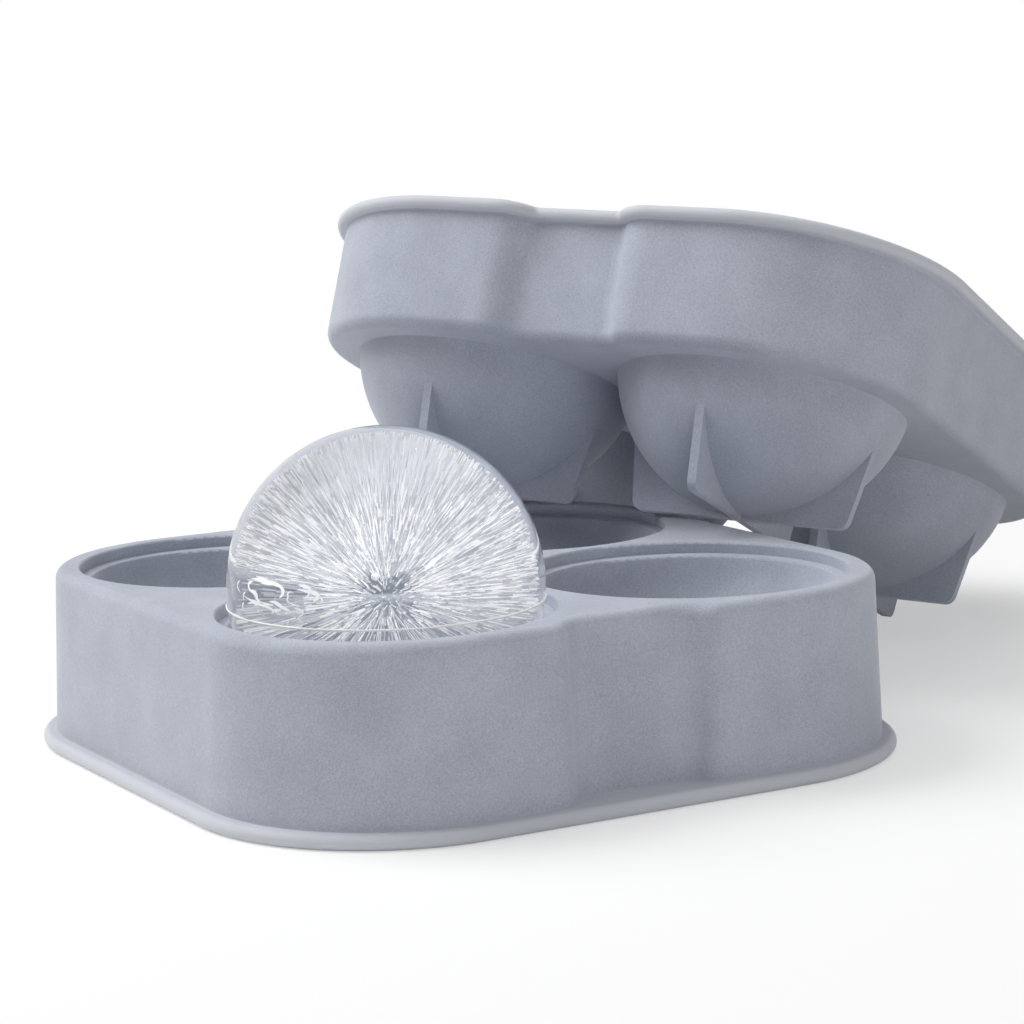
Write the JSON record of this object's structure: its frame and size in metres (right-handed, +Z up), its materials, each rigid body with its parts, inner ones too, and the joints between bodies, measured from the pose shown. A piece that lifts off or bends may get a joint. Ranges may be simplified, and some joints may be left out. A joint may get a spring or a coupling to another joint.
{
  "type": "ice ball mold",
  "caption": "Square silicone ice ball mold, open: a base tray of round cups with stepped mouths, a skirted lid with finned cups propped on its corner, and a clear ice ball in the front cup.",
  "frame": {"origin": "centre of the base tray's footprint, on the floor it stands on", "axes": "+Z up, +X and +Y along the base tray's sides; the ice ball is in the cup towards -X and -Y, and the lid is propped on the corner towards +X and +Y"},
  "size_m": [0.1949, 0.1668, 0.0803],
  "materials": {
    "silicone": "matte",
    "ice": "gloss"
  },
  "bodies": {
    "base": {"base_tray": "silicone"},
    "lid": {"lid": "silicone"},
    "ball": {"ice_ball": "ice", "ice_cloud": "ice"}
  },
  "joints": [
    {"name": "ball_lift", "type": "slide", "parent": "base", "child": "ball", "axis": [0, 0, 1], "range_m": [0, 0.06]},
    {"name": "lid_lift", "type": "slide", "parent": "base", "child": "lid", "axis": [0, 0, 1], "range_m": [0, 0.08]}
  ]
}
